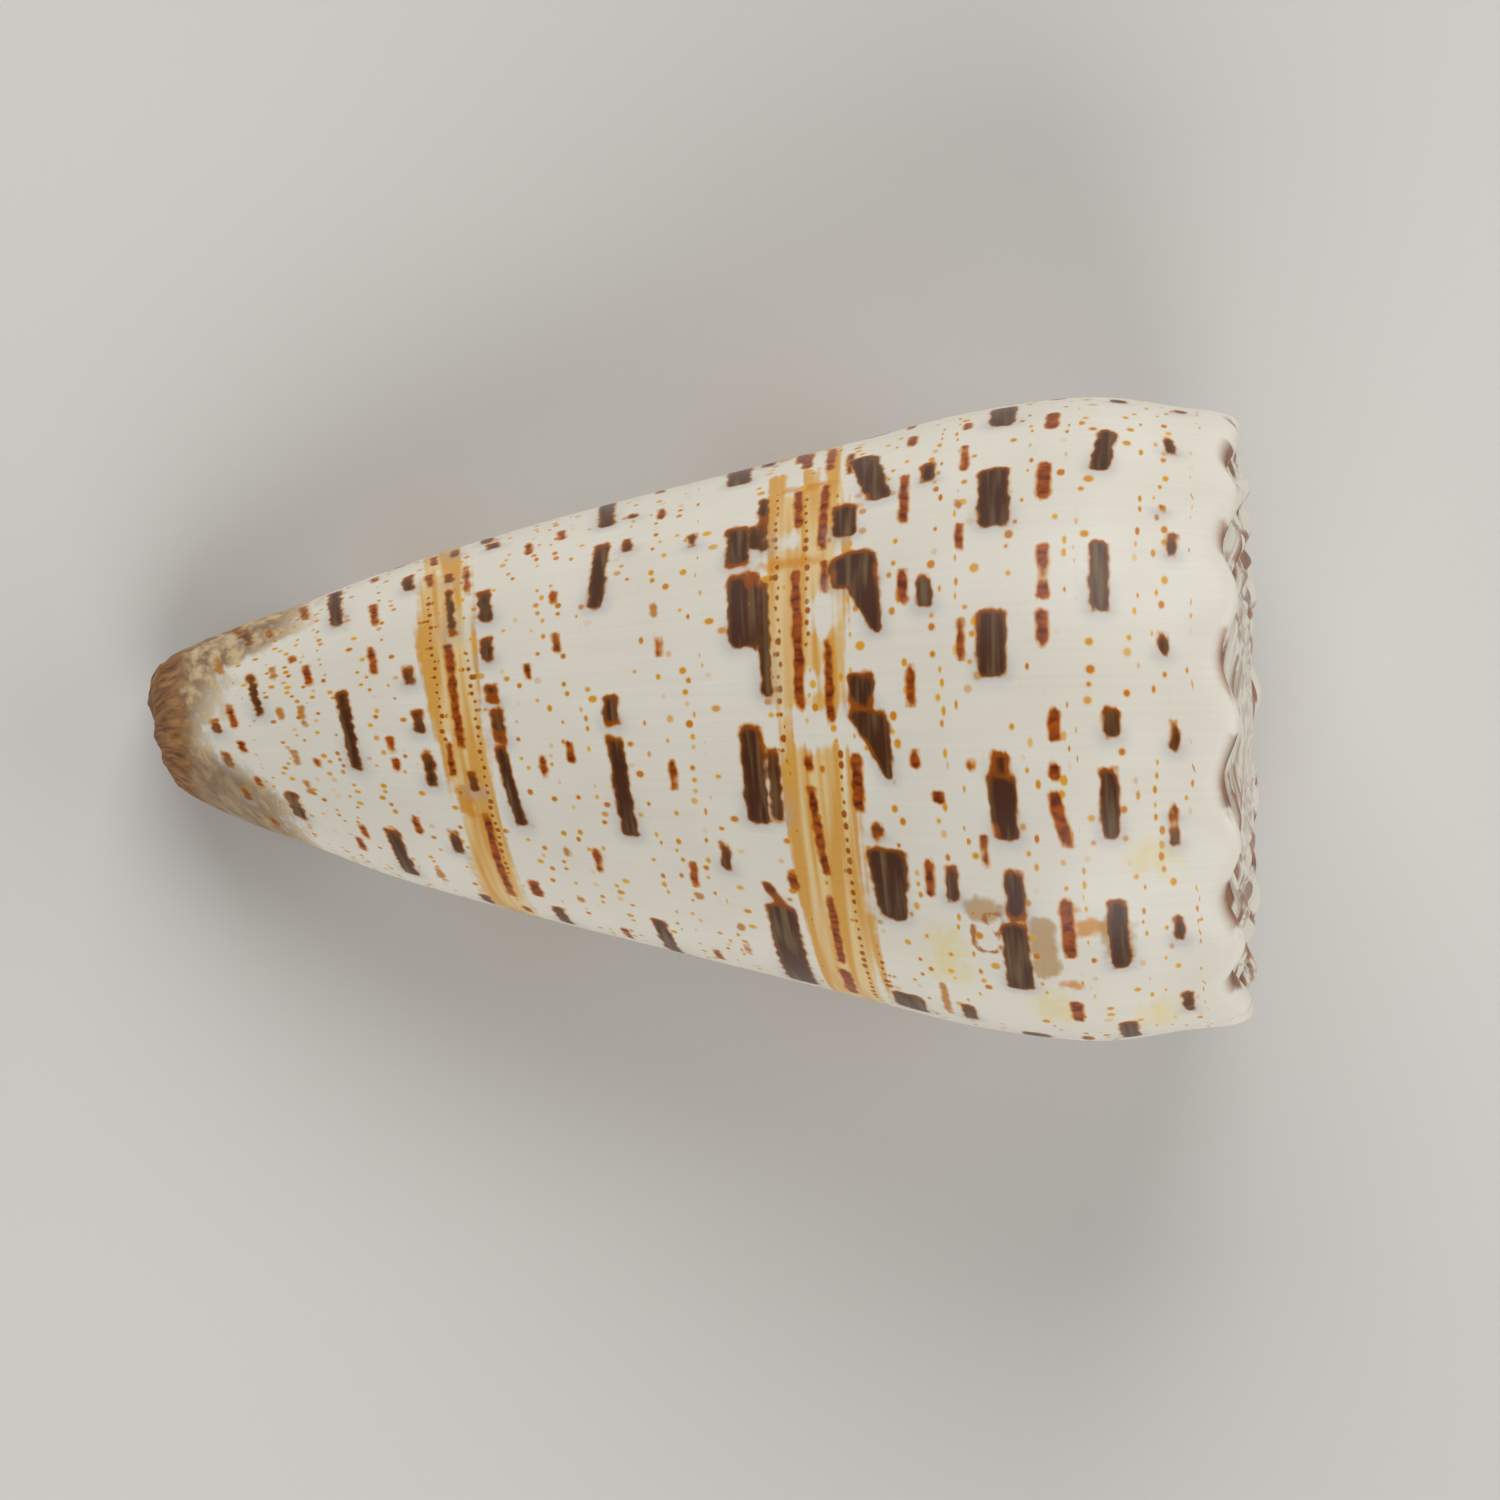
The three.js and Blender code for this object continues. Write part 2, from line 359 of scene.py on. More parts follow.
for whorl, (when, _) in WHORLS.items():
    phase = maths(grow, "MULTIPLY_ADD", when, given["Knobs per turn"], given["Knob phase"])
    which = maths(grow, "ROUND", phase)
    luck = add(grow, "ShaderNodeTexWhiteNoise", {"W": which}, noise_dimensions="1D")
    luck = add(grow, "ShaderNodeMapRange", {0: luck, 3: KNOB_LUCK[0], 4: KNOB_LUCK[1]})
    grown_up = add(grow, "ShaderNodeMapRange",
                   {0: when, 1: LAST_KNOBS[0], 2: LAST_KNOBS[1], 3: 1.0, 4: LAST_KNOB_HEIGHT})
    luck = maths(grow, "MULTIPLY", luck, grown_up)
    swing = maths(grow, "COSINE", maths(grow, "MULTIPLY", phase, 2 * math.pi))
    ripple = maths(grow, "MULTIPLY_ADD", swing, 0.5, 0.5)
    shrunk = maths(grow, "POWER", given["Whorl kept"], placed[whorl]["ago"])
    shrunk = maths(grow, "POWER", shrunk, KNOBS_FADE)
    knob = maths(grow, "MULTIPLY", ripple, shrunk)
    placed[whorl]["knob"] = maths(grow, "MULTIPLY", knob, luck)
print("growth rule so far", len(grow.nodes), "nodes")

# %% [markdown]
# A knob pushes the wall out and towards the apex. On the ramp near the suture it is the knob of the
# whorl before that does so.

# %% Knobs push the wall
pushed = {whorl: maths(grow, "MULTIPLY", found["knob"], found["swell"])
          for whorl, found in placed.items()}
pushed["here"] = maths(grow, "MULTIPLY_ADD", placed["inside"]["knob"], lift_here, pushed["here"])
spots = {}
for whorl, found in placed.items():
    out = maths(grow, "MULTIPLY_ADD", pushed[whorl], given["Knob swell"], found["radius"])
    up = maths(grow, "MULTIPLY", pushed[whorl], given["Knob height"])
    spots[whorl] = (out, maths(grow, "SUBTRACT", found["below"], up))
print("growth rule so far", len(grow.nodes), "nodes")

# %% [markdown]
# Between the two whorls the point goes the share that its across and inset ask for. The wall's
# millimetres become a share of the gap, which the tree measures at each point.

# %% Walls
SMALLEST_GAP = 0.01
WIDEST_WALL = 0.45  # of the gap

pairs = list(zip(spots["here"], spots["inside"]))
apart = [maths(grow, "SUBTRACT", here, inside) for here, inside in pairs]
squares = [maths(grow, "MULTIPLY", side, side) for side in apart]
gap = maths(grow, "SQRT", maths(grow, "ADD", *squares))
gap = maths(grow, "MAXIMUM", gap, SMALLEST_GAP)
wall = maths(grow, "DIVIDE", wall_depth, gap)
wall = maths(grow, "MINIMUM", wall, WIDEST_WALL)
rest_of_gap = maths(grow, "SUBTRACT", 1.0, across_share)
share = maths(grow, "MULTIPLY_ADD", wall, rest_of_gap, across_share)
between = [add(grow, "ShaderNodeMix", {0: share, 2: here, 3: inside}) for here, inside in pairs]
print("growth rule so far", len(grow.nodes), "nodes")

# %% [markdown]
# Radius, distance and angle become a place in space. The front end is chipped there by a noise,
# because it is the end that sand wears, and the whole shell is pitched up at the spire.

# %% The place in space
VECTOR_MATH = "ShaderNodeVectorMath"
CHIP_SCALE = 0.7
CHIPPED = (70.5, 75.0)  # along the axis, where the chips begin and where they are deepest

radius = maths(grow, "MULTIPLY", between[0], born)
along = maths(grow, "MULTIPLY_ADD", between[1], born, given["Apex"])
angle = maths(grow, "MULTIPLY_ADD", turn, 360.0, given["Lip angle"])
angle = maths(grow, "SUBTRACT", angle, lag_here)
turned = maths(grow, "RADIANS", angle)
aside, upright = (maths(grow, "MULTIPLY", radius, maths(grow, kind, turned))
                  for kind in ("SINE", "COSINE"))
spot = add(grow, "ShaderNodeCombineXYZ",
           {0: maths(grow, "MULTIPLY", along, -1.0), 1: aside, 2: upright})
chips = add(grow, "ShaderNodeTexNoise", {"Vector": spot, "Scale": CHIP_SCALE, "Detail": 3.0})
chips = add(grow, VECTOR_MATH, {0: chips.outputs["Color"], 1: (0.5, 0.5, 0.5)}, operation="SUBTRACT")
worn = add(grow, "ShaderNodeMapRange",
           {0: along, 1: CHIPPED[0], 2: CHIPPED[1], 3: 0.0, 4: given["Chip depth"]},
           interpolation_type="SMOOTHSTEP")
chips = add(grow, VECTOR_MATH, {0: chips, "Scale": worn}, operation="SCALE")
spot = add(grow, VECTOR_MATH, {0: spot, 1: chips}, operation="ADD")
spot = add(grow, VECTOR_MATH, {0: spot, "Scale": MM}, operation="SCALE")
pitch = maths(grow, "MULTIPLY", maths(grow, "RADIANS", given["Rest pitch"]), -1.0)
lying = add(grow, "ShaderNodeVectorRotate", {"Vector": spot, "Angle": pitch}, rotation_type="Y_AXIS")
print("growth rule", len(grow.nodes), "nodes")

# %% [markdown]
# The tree also leaves notes for the colours: the angle from the top of the back, counted on
# through every whorl, and the radius and the place along the axis, both in millimetres.

# %% Close the tree and grow the shell
WELD = 2e-6  # metres
older = maths(grow, "MULTIPLY_ADD", across_share, -360.0, angle)
geometry = given["Sheet"]
for name, value in (("angle", older), ("radius", radius), ("along", along)):
    geometry = add(grow, "GeometryNodeStoreNamedAttribute",
                   {"Geometry": geometry, "Name": name, "Value": value},
                   data_type="FLOAT", domain="POINT")
geometry = add(grow, "GeometryNodeSetPosition", {"Geometry": geometry, "Position": lying})
geometry = add(grow, "GeometryNodeMergeByDistance", {"Geometry": geometry, "Distance": WELD})
geometry = add(grow, "GeometryNodeSetShadeSmooth", {"Geometry": geometry})
geometry = add(grow, "GeometryNodeRealizeInstances", {"Geometry": geometry})
geometry = add(grow, "GeometryNodeSetMaterial", {"Geometry": geometry,
                                                 "Material": given["Finish"]})
add(grow, "NodeGroupOutput", {"Shell": geometry})

# Shell is aragonite, glazed by the animal itself: ivory, hard and bright, with soft broad shine.
porcelain = bpy.data.materials.new("glazed aragonite")
growing = shell.modifiers.new("grow", "NODES")
growing.node_group = grow
growing[sockets["Lip"].identifier] = lip_object
growing[sockets["Finish"].identifier] = porcelain
for name, value in SIZES.items():
    growing[sockets[name].identifier] = float(value)
graph = bpy.context.evaluated_depsgraph_get()
grown = bpy.data.meshes.new_from_object(shell.evaluated_get(graph), depsgraph=graph)
shell.modifiers.clear()
shell.data = grown
print("grown", len(grown.vertices), "points", len(grown.polygons), "faces")

# %% [markdown]
# ## Lying down
#
# The CAD solid lies with the middle of its outline over the origin, and the wear of lying about
# has left a narrow flat along its belly. The grown mesh is moved by the same amount as the solid,
# and worn as it is: what would reach below the floor is rubbed off level with it.

# %% Put the shell in the CAD frame
APEX_PLACE = (34.841, -1.152, 22.577)


def read(mesh, name):
    values = np.empty(len(mesh.vertices), np.float32)
    mesh.attributes[name].data.foreach_get("value", values)
    return values.astype(float)


place = np.empty(len(grown.vertices) * 3, np.float32)
grown.vertices.foreach_get("co", place)
place = place.reshape(-1, 3).astype(float)
place += np.array(APEX_PLACE) * MM
place[:, 2] = np.maximum(place[:, 2], 0)
grown.vertices.foreach_set("co", place.astype(np.float32).ravel())
grown.update()
print("shell box", place.min(0).round(4), place.max(0).round(4))

# %% [markdown]
# ## Where the colours lie
#
# The snail's mantle lays its pigment at the lip, and each colour gland keeps its place there. So
# a gland that works without a pause draws a line round the whorl, and one that works now and then
# draws dashes in a row. Two numbers say where a point is in that pattern: its angle from the top of
# the back, growing towards the lip, and its row, the distance along the axis with the slow
# lengthening of the shell taken out, so that a gland's trace has the same row all the way round.
# On the ramp of the spire the distance along the axis hardly changes, so there the row goes on
# with the radius.

# %% Rows and angles of the points
ROW_GROWTH = 1.24
ROWS_SETTLE = -600.0  # degrees: before this angle the rows no longer lengthen
PATTERN_RADIUS = 18.0

angle_at, radius_at, along_at, reach_at, across_at, inset_at = (
    read(grown, name) for name in ("angle", "radius", "along", "reach", "across", "inset"))
whorl_size = WHORL_KEPT ** ((SIZES["Lip angle"] - angle_at) / 360)
ramp_along = APEX + (SHOULDER[1] - APEX) * whorl_size - SHOULDER[0] * whorl_size + radius_at
row_at = np.where(reach_at > SHOULDER_REACH,
                  along_at * ROW_GROWTH ** (-np.maximum(angle_at, ROWS_SETTLE) / 360), ramp_along)
mm_per_degree = np.maximum(radius_at, 1.0) * math.pi / 180
print("rows run from", row_at.min().round(2), "to", row_at.max().round(2), "mm")

# %% [markdown]
# The dashes were set down row by row, as the shell shows them: the angle where each begins and ends,
# its row and its width in millimetres. A dash that leans or tapers has a second row or width for its
# older end. Dark ones are the broad, nearly black blocks, chestnut ones the thin red-brown strokes, and
# amber ones the palest.

# %% The dashes of the back
DASHES = {  # newer end, older end, row, width, and the row and width of the older end
    "dark": [
        (82, 78, 5.0, .8), (64.5, 58.5, 5.6, .75, 5.2), (44.5, 42.5, 5.8, .5), (38.5, 33, 5.1, .75),
        (18.5, 14, 5.6, .7), (2.5, -3, 4.9, .7), (-12.5, -15.5, 5.1, .6), (-16.5, -20.5, 5.1, .75),
        (-35, -42, 5.1, .75), (-57, -66, 4.9, .75),
        (84, 80, 8.9, 1.2), (64.5, 51.5, 9.3, 1.3, 9.8), (35.5, 21.5, 9.7, 1.3),
        (5, -.5, 9.0, 1.2), (-5.5, -18.5, 9.25, 1.3), (-30.5, -47, 9.1, 1.5), (-67, -80, 9.2, 1.3),
        (84, 69.5, 16.2, 1.7), (54.5, 39.5, 16.55, 2.1), (23, 10.5, 16.7, 2.0),
        (-2.5, -7, 16.4, 1.3), (-6.5, -19, 16.4, 2.0, 16.1, 1.7), (-24.5, -36, 15.9, 1.4),
        (-36, -54.5, 16.15, 1.9), (-77, -84, 16.0, 2.0),
        (60, 53.5, 20.85, 1.0), (31, 24, 21.05, 1.1), (-24.5, -32.5, 20.1, 1.0), (-64, -73, 20.25, 1.0),
        (70, 51.5, 25.3, 2.0, 24.0, 1.6), (52.5, 43, 26.3, 1.7), (39, 30.5, 25.7, 3.2),
        (33, 20.5, 25.3, 2.6, 24.2, 0.7), (13, 5, 25.4, 1.8), (5.5, -8, 25.1, 3.0, 23.8, 0.5),
        (-17, -20, 24.8, .9), (-22, -39, 24.4, 3.0, 24.4, 1.8), (-65, -77, 24.5, 2.3),
        (84, 71, 33.3, 1.5), (52.5, 40, 33.3, 1.6), (38, 20, 33.3, 1.6), (3, -19, 33.0, 1.6),
        (52, 44, 32.2, .9), (38, 20, 32.3, .9), (35, 9, 31.7, .8), (-2, -18, 31.6, .9),
        (-34, -40, 33.0, .8, 32.3), (-40, -78, 32.3, 2.2), (61, 43, 31.6, .7),
        (57.5, 35, 42.2, 1.1, 42.9), (11.5, 3.5, 42.3, 1.1), (1, -25.5, 42.3, 1.2, 42.0),
        (-54.5, -82, 41.5, 1.1),
        (77, 71, 49.4, .9), (49.5, 37, 50.2, .9), (32, 23.5, 50.3, .9), (17, 11, 50.3, .9),
        (10, -1, 50.1, .9), (-1, -26, 50.3, .9, 49.6), (-60, -76, 49.0, .9),
        (84, 74, 51.9, .6), (62.5, 57, 52.4, .6), (54, 34, 52.5, .6), (-9.5, -16, 52.5, .7),
        (69.5, 58.5, 55.1, .8), (26, 19.5, 55.8, .8), (11, 3, 55.6, .8), (-3, -15, 55.4, .8),
        (-31, -41, 54.8, .8), (-65, -75, 54.5, .8),
        (84, 51, 59.8, .9, 60.1), (21, -10.5, 60.6, .9), (-35, -63, 59.4, 1.1),
        (78, 57, 65.9, .6), (38, 14.5, 66.5, .6), (-25, -42, 66.2, 1.0), (15, 7, 69.8, .6),
        (-5, -15, 69.9, .6), (-28, -37, 69.7, .6),
        (69.5, 67, 40.2, .7), (57, 52, 40.6, .7), (53.5, 49, 36.3, .6), (-24.5, -32, 35.6, .7)],
    "chestnut": [
        (73.5, 65.5, 12.95, .85), (54.5, 44.5, 13.3, .9), (35, 29.5, 13.3, .8), (28, 24, 13.3, .8),
        (22.5, 15.5, 13.35, .8), (5, -1, 12.7, .8), (-4.5, -7.5, 12.8, .7), (-9.5, -20, 13.0, .9, 12.1),
        (-30, -44, 12.5, .9), (-57, -66, 12.5, .85), (-76, -81, 12.3, .8),
        (75, 71, 18.4, .5), (64, 55, 18.5, .5), (41.5, 35, 18.75, .5), (21.5, 13.5, 18.7, .5),
        (-18, -24.5, 17.75, .5), (-4, -6.5, 18.3, .5), (-10, -12.5, 20.6, .8),
        (74.5, 68.5, 22.0, .6), (57.5, 43.5, 22.4, .6), (33, 25.5, 22.45, .7), (13.5, 5.5, 22.1, .6),
        (-2.5, -6, 22.0, .6), (-23.5, -32, 21.6, .6), (-3, -15, 26.0, .8),
        (74, 63, 26.0, .5), (84, 71, 28.8, .6), (84, 67, 27.3, .6), (61, 48, 29.3, .6),
        (61, 41, 27.5, .6, 27.8), (37, 6, 29.5, .7), (38, 30, 27.6, .6), (20, 3, 27.5, .6),
        (-2.5, -7, 29.2, .6), (-10, -30, 29.2, .6, 28.7), (-30, -35, 31.1, .7), (-35, -57, 28.7, .6),
        (-60, -76, 28.7, .8),
        (68, 62.5, 38.35, .5), (24.5, 20, 38.75, .5), (-5, -12, 38.5, .5), (-31, -38.5, 38.05, .5),
        (-65, -74, 38.0, .5),
        (70, 64.5, 44.9, .5), (43.5, 39, 45.6, .5), (30, 24, 45.6, .5), (0, -6, 45.4, .5),
        (-30.5, -38.5, 44.75, .5), (-65, -75, 44.5, .5),
        (67, 61, 47.1, .5), (21.5, 17.5, 47.7, .5), (-4, -10, 47.4, .5),
        (-47.5, -56, 50.0, .8), (84, 72, 53.3, .5), (65.5, 57.5, 53.7, .5), (64, 49, 51.3, .4),
        (32, -2, 52.9, .6), (0, -11, 53.8, .5), (-23, -60, 52.1, .6), (-67, -73, 51.6, .5),
        (82, 75, 57.2, .5), (57.5, 45.5, 57.6, .5), (36.5, 25, 58.1, .5), (2, -3, 57.8, .5),
        (-5.5, -10.5, 57.7, .5), (-27, -35, 57.3, .5),
        (80, 63, 62.0, .5), (35.5, 25.5, 62.65, .5), (-36, -42.5, 61.6, .5), (-44, -53, 62.3, .5),
        (42, 39, 63.4, .5), (-7, -10.5, 63.4, .5), (65, 58, 64.5, .5),
        (23, 9, 68.5, .5), (2, -5, 68.5, .5), (-18, -25, 68.3, .5), (-48, -58, 68.8, .6)],
    "amber": [
        (47, 44.5, 18.8, .5), (-56, -72, 21.7, .5), (-57, -63.5, 35.5, .5), (-49, -52, 35.5, .5),
        (34, 30, 39.0, .5), (-40.5, -43, 38.0, .5), (-31.5, -35, 46.8, .5), (-51, -54, 46.8, .5),
        (-52, -61, 57.0, .5), (39, 32, 64.9, .5), (17.5, 12, 65.1, .5), (-3, -10, 64.9, .5),
        (-17.5, -24, 64.6, .5), (57, 43, 68.3, .5), (17, 7.5, 63.6, .45)],
}
print("dashes", {tone: len(dashes) for tone, dashes in DASHES.items()})

# %% [markdown]
# The back is all that can be seen. Round the belly the same glands go on, so each row is continued
# with dashes of its own length and spacing, from a fixed seed.

# %% The dashes of the belly, continued row by row
CHANCE = np.random.default_rng(7)
BELLY = ((132.0, 87.0), (-87.0, -228.0))
GLANDS = [  # tone, row, width, usual length and gap in millimetres
    ("dark", 5.1, .75, 2.0, 5.5), ("dark", 9.3, 1.3, 4.5, 6.0), ("chestnut", 12.8, .85, 3.2, 3.0),
    ("dark", 16.3, 2.0, 5.5, 6.0), ("chestnut", 18.5, .5, 2.4, 5.0), ("dark", 20.7, 1.0, 2.5, 8.0),
    ("chestnut", 22.1, .6, 3.0, 4.5), ("dark", 24.8, 2.2, 5.0, 4.5), ("chestnut", 27.3, .6, 6.0, 2.0),
    ("chestnut", 29.2, .7, 8.0, 2.0), ("dark", 31.6, .9, 5.0, 3.0), ("dark", 33.1, 1.6, 6.0, 4.0),
    ("chestnut", 38.4, .5, 2.0, 7.0), ("dark", 42.2, 1.1, 6.0, 6.0), ("chestnut", 45.1, .5, 2.0, 7.0),
    ("chestnut", 47.3, .5, 1.6, 8.0), ("dark", 50.0, .9, 4.0, 2.5), ("chestnut", 52.4, .6, 5.0, 1.5),
    ("dark", 55.3, .8, 2.4, 3.5), ("chestnut", 57.6, .5, 1.8, 3.5), ("dark", 60.0, .9, 5.0, 3.5),
    ("chestnut", 62.2, .5, 1.8, 3.0), ("dark", 66.3, .6, 2.6, 3.0)]
for tone, row, width, long, space in GLANDS:
    degrees = 180 / math.pi / np.interp(row, lip[:, 1], lip[:, 0])
    for newest, oldest in BELLY:
        at = newest - CHANCE.uniform(0, 0.6) * space * degrees
        while at > oldest:
            end = at - long * CHANCE.uniform(0.5, 1.5) * degrees
            DASHES[tone].append((at, end, row + CHANCE.normal(0, 0.15),
                                 width * CHANCE.uniform(0.8, 1.15)))
            at = end - space * CHANCE.uniform(0.4, 1.6) * degrees
print("with the belly", {tone: len(dashes) for tone, dashes in DASHES.items()})

# %% [markdown]
# Each tone becomes a field on the points: the distance in millimetres to the edge of the nearest
# dash, negative inside it. A field of distances stays smooth between points, so the material can
# draw a sharp or a frayed edge wherever it crosses zero. Two more fields say how near the newer
# end is, where pigment starts as a thin orange wash, and the older end, where it fades under the
# next layers of shell and looks blue-grey.

# %% Distance fields
FAR = 9.0  # millimetres, more than any edge is wide
ROW_WINDOW = 6.0
START_FADE = 0.55
START_MARGIN = 1.0
BLUR_FROM = 0.35  # share of the dash
BLUR_WIDTH = 0.55


def block(newest, oldest, row, width, row_end=None, width_end=None, rounding=0.5):
    """Distance to a leaning, tapering dash, and how far each point is from its newer end."""
    row_end = row if row_end is None else row_end
    width_end = width if width_end is None else width_end
    share = np.clip((newest - angle_at) / (newest - oldest), 0, 1)
    sideways = np.abs(row_at - row - (row_end - row) * share)
    half = (width + (width_end - width) * share) / 2
    lengthways = np.maximum(angle_at - newest, oldest - angle_at) * mm_per_degree
    corner = rounding * half
    over = np.hypot(np.maximum(sideways - half + corner, 0), np.maximum(lengthways + corner, 0))
    inside = np.minimum(np.maximum(sideways - half, lengthways) + corner, 0)
    return over + inside - corner, (newest - angle_at) * mm_per_degree, share


field = {tone: np.full(len(row_at), FAR) for tone in DASHES}
newer = np.zeros(len(row_at))
older_blur = np.zeros(len(row_at))
for tone, dashes in DASHES.items():
    for dash in dashes:
        near = np.flatnonzero((np.abs(row_at - dash[2]) < ROW_WINDOW) & (reach_at > SHOULDER_REACH))
        distance, behind, share = (v[near] for v in block(*dash))
        field[tone][near] = np.minimum(field[tone][near], distance)
        if tone != "amber":
            start = np.exp(-np.clip(behind, 0, None) / START_FADE) * (distance < START_MARGIN)
            newer[near] = np.maximum(newer[near], start)
        if tone == "dark":
            outside_by = np.clip(distance, 0, None)
            blur = ease(share, BLUR_FROM, 1.0) * np.exp(-(outside_by / BLUR_WIDTH) ** 2)
            older_blur[near] = np.maximum(older_blur[near], blur)
print("share of dark surface", round(float((field["dark"] < 0).mean()), 3))

# %% [markdown]
# Two amber belts run round the whorl behind the dashes, each in pieces with ivory gaps. Patches
# of a stronger orange cap some of the blocks. An old crack on the back has healed with a tan,
# glassy patch and thin orange seams, and there are a few cream stains. All are the same kind of
# field, put down as rounded boxes: newer end, older end, lower row, upper row.

# %% Belts, caps, scar and stains
BELT = [(61, 6, 26.3, 31.6), (70, 60, 30.0, 31.0), (70, 60, 28.0, 28.9), (6, -2, 30.2, 31.0),
        (-2, -40, 26.4, 30.9), (-38, -84, 26.0, 30.5), (132, 84, 26.5, 31.5), (84, 60, 26.4, 27.2),
        (-84, -150, 26.1, 30.6), (-146, -228, 26.3, 31.2),
        (66, 0, 51.2, 54.6), (2, -84, 51.0, 54.2), (132, 64, 51.2, 54.4), (-84, -228, 51.0, 54.2)]
BELT_GAP = [(47, 42.5, 29.2, 30.3), (29.5, 21, 27.0, 28.6), (14, 9, 27.9, 29.0), (6, -1, 26.0, 29.8),
            (-128, -136, 28.2, 30.0), (-180, -187, 26.9, 29.0), (106, 100, 28.4, 30.2)]
CAP = [(40.2, 37.4, 25.6, 34.3), (63, 60.4, 26.3, 31.6), (-14, -25, 52.8, 54.0),
       (-34.5, -38.5, 9.8, 12.3), (-50.5, -53, 11.6, 13.6), (-31.5, -34, 11.6, 13.2)]
SCAR = [(-34.5, -50, 13.3, 15.2), (-31, -36.5, 16.8, 19.6), (-33.5, -45, 8.1, 10.3)]
SEAM_HALF = 0.1
SEAM = [(-36.5, -44, 17.3, 19.0), (-34, -39, 16.9, 18.1)]
CREAM = [(-40, -55, 19.8, 22.2), (-20, -25, 5.0, 8.0), (-55, -66, 12.8, 15.2), (-60, -72, 6.0, 8.0)]


def boxes(rows, rounding=0.8):
    nearest = np.full(len(row_at), FAR)
    for newest, oldest, lower, upper in rows:
        patch = block(newest, oldest, (lower + upper) / 2, upper - lower, rounding=rounding)[0]
        nearest = np.minimum(nearest, patch)
    return np.where(reach_at > SHOULDER_REACH, nearest, FAR)


belt = np.maximum(boxes(BELT, 0.2), -boxes(BELT_GAP))
seam = np.abs(boxes(SEAM)) - SEAM_HALF
field.update(belt=belt, cap=boxes(CAP), scar=boxes(SCAR), seam=seam, cream=boxes(CREAM))
print("share of belts", round(float((belt < 0).mean()), 3))

# %% [markdown]
# Between the dashes run rows of amber dots, too small to be stored on the points. So the points
# only store a rung, a number that is whole on each row of dots and runs evenly from one to the
# next, with the rows' distance. The material puts the dots on the whole numbers. On the belts the
# dots stand close together and are darker.

# %% Rungs of the dot rows
DOT_ROWS = [3.7, 5.9, 7.5, 11.2, 11.9, 14.6, 18.8, 20.2, 22.9, 25.9, 27.0, 28.8, 30.7, 35.9, 36.8, 38.6,
            40.4, 43.9, 45.5, 46.7, 48.8, 51.6, 54.0, 56.9, 58.9, 61.4, 62.8, 64.0, 65.6, 67.6]
DOTTED_WIDTH = 0.9
DOTTED = [(61, -4, 30.7), (60, 20, 28.8), (-2, -77, 27.0), (-50, -66, 25.9), (52, 0, 54.0),
          (28, -46, 51.6), (132, 84, 30.7), (-84, -228, 28.8), (-84, -228, 54.0), (-90, -200, 27.0)]
rung = np.interp(row_at, DOT_ROWS, np.arange(len(DOT_ROWS)), -0.5, len(DOT_ROWS) - 0.5)
rung_gap = np.interp(row_at, DOT_ROWS, np.gradient(DOT_ROWS))
dotted = np.zeros(len(row_at))
for newest, oldest, row in DOTTED:
    dotted = np.maximum(dotted, (block(newest, oldest, row, DOTTED_WIDTH)[0] < 0) * 1.0)
print("dot rows", len(DOT_ROWS))

# %% [markdown]
# The front end is stained: it is where the animal's siphon lay and where the shell was worn on sand, so
# the glaze is dull there, tan at first and brown at the very tip, and darker on the lower flank.
# The ramp of the spire has brown flames in the hollows between its knobs. On older whorls they
# drift away from the knobs, so that they never line up as spokes. The aperture is plain and pale.

# %% Stain, flames and aperture
FLAME_DRIFT = 0.7  # knobs per turn
DRIFT_FROM = 0.8  # turns ago
STAIN_SOFT = (-3.0, 4.0)  # millimetres from the stain's edge
DARKER_FLANK = (25, -20)  # degrees
BROWN_TIP = (0.875, 0.93)  # reach
BODY_EDGE = SHOULDER_REACH + 0.004
RAMP_EDGE = SHOULDER_REACH - 0.012
FLAMES_GROW = (5, 16)  # millimetres from the axis
FIRST_FLAMES = 0.4
RIM_SHARE = 0.4  # of the lip's wall, still coloured as the outside is
STAIN_EDGE = [(-228, 68.0), (-60, 66.5), (-30, 66.5), (-20, 68.2), (0, 70.8), (20, 69.5), (45, 67.5),
              (57, 62.5), (84, 61.0), (132, 62.0)]
edge = np.interp(angle_at, *zip(*STAIN_EDGE))
stain = ease(row_at - edge, *STAIN_SOFT) * ease(reach_at, SHOULDER_REACH, BODY_EDGE)
# the stain gets darker towards the lower flank, from 25 degrees above the top of the back to 20 below
# it
grime = stain * ease(angle_at, *DARKER_FLANK)
turns_ago = (SIZES["Lip angle"] - angle_at) / 360
drift = FLAME_DRIFT * np.clip(turns_ago - DRIFT_FROM, 0, None)
wave = 0.5 + 0.5 * np.cos(2 * math.pi * (SIZES["Knob phase"] - KNOBS * turns_ago + drift))
tip = ease(reach_at, *BROWN_TIP)
on_ramp = 1 - ease(reach_at, RAMP_EDGE, BODY_EDGE)
on_ramp *= FIRST_FLAMES + (1 - FIRST_FLAMES) * ease(radius_at, *FLAMES_GROW)
deep_in = np.where((across_at > 0) | (inset_at > LIP_WALL * RIM_SHARE), 1.0, 0.0)
print("share of stain", round(float((stain > 0.5).mean()), 3))

# %% [markdown]
# All fields go onto the mesh as named layers, where the material can find them. The numbers that
# only the growth needed are taken off.

